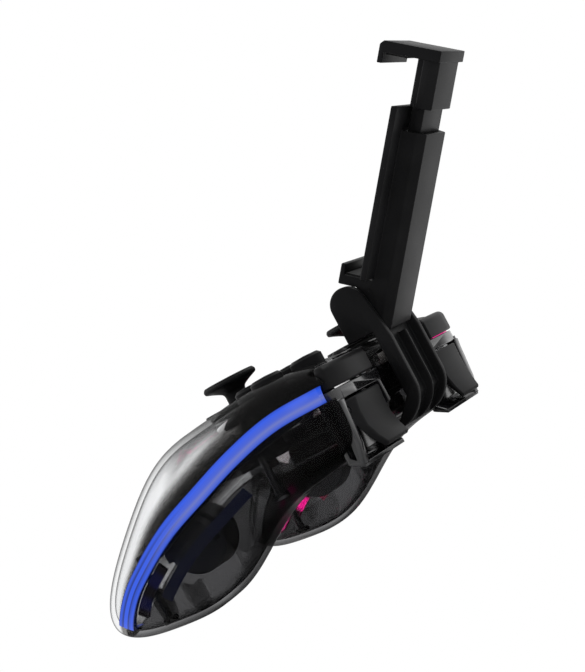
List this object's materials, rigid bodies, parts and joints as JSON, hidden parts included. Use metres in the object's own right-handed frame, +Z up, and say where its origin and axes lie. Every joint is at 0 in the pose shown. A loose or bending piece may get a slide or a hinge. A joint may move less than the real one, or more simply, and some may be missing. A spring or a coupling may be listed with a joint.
{
  "type": "wireless gamepad",
  "caption": "Transparent wireless gamepad with light strips in its grips and a folding spring clip for a handheld screen.",
  "frame": {"origin": "centre of the bounding box, at its bottom, on the table the pad rests on", "axes": "+X to the player's right, +Y away from the player towards the triggers and the clip, +Z up from the table"},
  "size_m": [0.1554, 0.1876, 0.0944],
  "materials": {
    "clear_shell": "clear, polished",
    "smoke_shell": "smoke tinted, transparent, polished",
    "blue_guide": "diffusing light guide lit blue",
    "magenta_guide": "diffusing light guide lit magenta",
    "circuit_board": "black solder mask",
    "cell": "wrapped cell",
    "steel": "plain",
    "soft_rubber": "matt",
    "gloss_black": "glossy",
    "satin_black": "satin"
  },
  "bodies": {
    "pad": {"battery": "cell", "bottom_shell": "smoke_shell", "bumper_pin_left": "steel", "bumper_pin_right": "steel", "button_membrane": "soft_rubber", "case_screws": "steel", "charging_socket": "steel", "clip_base": "satin_black", "clip_pin": "steel", "dpad_base": "satin_black", "lamp_tray_left": "satin_black", "lamp_tray_right": "satin_black", "led_board_left": "circuit_board", "led_board_right": "circuit_board", "light_guide_left": "magenta_guide", "light_guide_right": "blue_guide", "main_board": "circuit_board", "motor_left": "steel", "motor_right": "steel", "shoulder_frame_left": "gloss_black", "shoulder_frame_right": "gloss_black", "stick_module_left": "satin_black", "stick_module_right": "satin_black", "stick_ring_left": "satin_black", "stick_ring_right": "satin_black", "top_shell": "clear_shell", "trigger_pin_left": "steel", "trigger_pin_right": "steel"},
    "clip_arm": {"clip_arm": "satin_black", "jaw_pad_low": "soft_rubber"},
    "clip_slider": {"clip_slider": "satin_black", "jaw_pad_top": "soft_rubber"},
    "bumper_right": {"bumper_right": "satin_black"},
    "bumper_left": {"bumper_left": "satin_black"},
    "trigger_right": {"trigger_right": "satin_black"},
    "trigger_left": {"trigger_left": "satin_black"},
    "dpad_pivot": {"dpad_pivot": "satin_black"},
    "dpad": {"dpad_cap": "satin_black"},
    "stick_yoke_right": {"stick_yoke_right": "satin_black"},
    "stick_pivot_right": {"stick_pivot_right": "satin_black"},
    "stick_cap_right": {"stick_cap_right": "satin_black"},
    "motor_weight_right": {"motor_weight_right": "steel"},
    "stick_yoke_left": {"stick_yoke_left": "satin_black"},
    "stick_pivot_left": {"stick_pivot_left": "satin_black"},
    "stick_cap_left": {"stick_cap_left": "satin_black"},
    "motor_weight_left": {"motor_weight_left": "steel"},
    "button_north": {"button_north": "satin_black"},
    "button_east": {"button_east": "satin_black"},
    "button_south": {"button_south": "satin_black"},
    "button_west": {"button_west": "satin_black"},
    "menu_button": {"menu_button": "satin_black"},
    "view_button": {"view_button": "satin_black"},
    "home_button": {"home_button": "satin_black"}
  },
  "joints": [
    {"name": "clip_fold", "type": "hinge", "parent": "pad", "child": "clip_arm", "pos_m": [0, 0.01942, 0.04144], "axis": [1, 0, 0], "range_deg": [0, 90]},
    {"name": "clip_jaw", "type": "slide", "parent": "clip_arm", "child": "clip_slider", "axis": [0, 0.8256, 0.5643], "range_m": [-0.0072, 0.014]},
    {"name": "bumper_right_press", "type": "hinge", "parent": "pad", "child": "bumper_right", "pos_m": [0.0358, 0.01334, 0.02715], "axis": [0, 0.2697, 0.9629], "range_deg": [-2.5, 0], "stiffness_Nm_per_rad": 0.5},
    {"name": "trigger_right_pull", "type": "hinge", "parent": "pad", "child": "trigger_right", "pos_m": [0.046, 0.00905, 0.01631], "axis": [1, 0, 0], "range_deg": [-15, 0], "stiffness_Nm_per_rad": 0.08},
    {"name": "stick_right_forward", "type": "hinge", "parent": "pad", "child": "stick_yoke_right", "pos_m": [0.022, -0.03276, 0.03238], "axis": [1, 0, 0], "range_deg": [-15, 15], "stiffness_Nm_per_rad": 0.05},
    {"name": "stick_right_sideways", "type": "hinge", "parent": "stick_yoke_right", "child": "stick_pivot_right", "pos_m": [0.022, -0.03276, 0.03238], "axis": [0, 0.9629, -0.2697], "range_deg": [-15, 15], "stiffness_Nm_per_rad": 0.05},
    {"name": "stick_right_click", "type": "slide", "parent": "stick_pivot_right", "child": "stick_cap_right", "axis": [0, 0.2697, 0.9629], "range_m": [-0.0008, 0], "stiffness_N_per_m": 2500},
    {"name": "motor_right_spin", "type": "hinge", "parent": "pad", "child": "motor_weight_right", "pos_m": [0.064, -0.05478, 0.01975], "axis": [1, 0, 0], "continuous": true},
    {"name": "bumper_left_press", "type": "hinge", "parent": "pad", "child": "bumper_left", "pos_m": [-0.0358, 0.01334, 0.02715], "axis": [0, 0.2697, 0.9629], "range_deg": [0, 2.5], "stiffness_Nm_per_rad": 0.5},
    {"name": "trigger_left_pull", "type": "hinge", "parent": "pad", "child": "trigger_left", "pos_m": [-0.046, 0.00905, 0.01631], "axis": [1, 0, 0], "range_deg": [-15, 0], "stiffness_Nm_per_rad": 0.08},
    {"name": "stick_left_forward", "type": "hinge", "parent": "pad", "child": "stick_yoke_left", "pos_m": [-0.043, -0.01138, 0.02639], "axis": [1, 0, 0], "range_deg": [-15, 15], "stiffness_Nm_per_rad": 0.05},
    {"name": "stick_left_sideways", "type": "hinge", "parent": "stick_yoke_left", "child": "stick_pivot_left", "pos_m": [-0.043, -0.01138, 0.02639], "axis": [0, 0.9629, -0.2697], "range_deg": [-15, 15], "stiffness_Nm_per_rad": 0.05},
    {"name": "stick_left_click", "type": "slide", "parent": "stick_pivot_left", "child": "stick_cap_left", "axis": [0, 0.2697, 0.9629], "range_m": [-0.0008, 0], "stiffness_N_per_m": 2500},
    {"name": "motor_left_spin", "type": "hinge", "parent": "pad", "child": "motor_weight_left", "pos_m": [-0.064, -0.05478, 0.01975], "axis": [1, 0, 0], "continuous": true},
    {"name": "dpad_forward", "type": "hinge", "parent": "pad", "child": "dpad_pivot", "pos_m": [-0.022, -0.03248, 0.03449], "axis": [1, 0, 0], "range_deg": [-4, 4], "stiffness_Nm_per_rad": 0.3},
    {"name": "dpad_sideways", "type": "hinge", "parent": "dpad_pivot", "child": "dpad", "pos_m": [-0.022, -0.03248, 0.03449], "axis": [0, 0.9629, -0.2697], "range_deg": [-4, 4], "stiffness_Nm_per_rad": 0.3},
    {"name": "button_north_press", "type": "slide", "parent": "pad", "child": "button_north", "axis": [0, 0.2697, 0.9629], "range_m": [-0.0014, 0], "stiffness_N_per_m": 700},
    {"name": "button_east_press", "type": "slide", "parent": "pad", "child": "button_east", "axis": [0, 0.2697, 0.9629], "range_m": [-0.0014, 0], "stiffness_N_per_m": 700},
    {"name": "button_south_press", "type": "slide", "parent": "pad", "child": "button_south", "axis": [0, 0.2697, 0.9629], "range_m": [-0.0014, 0], "stiffness_N_per_m": 700},
    {"name": "button_west_press", "type": "slide", "parent": "pad", "child": "button_west", "axis": [0, 0.2697, 0.9629], "range_m": [-0.0014, 0], "stiffness_N_per_m": 700},
    {"name": "menu_button_press", "type": "slide", "parent": "pad", "child": "menu_button", "axis": [0, 0.2697, 0.9629], "range_m": [-0.0014, 0], "stiffness_N_per_m": 700},
    {"name": "view_button_press", "type": "slide", "parent": "pad", "child": "view_button", "axis": [0, 0.2697, 0.9629], "range_m": [-0.0014, 0], "stiffness_N_per_m": 700},
    {"name": "home_button_press", "type": "slide", "parent": "pad", "child": "home_button", "axis": [0, 0.2697, 0.9629], "range_m": [-0.0014, 0], "stiffness_N_per_m": 700}
  ]
}
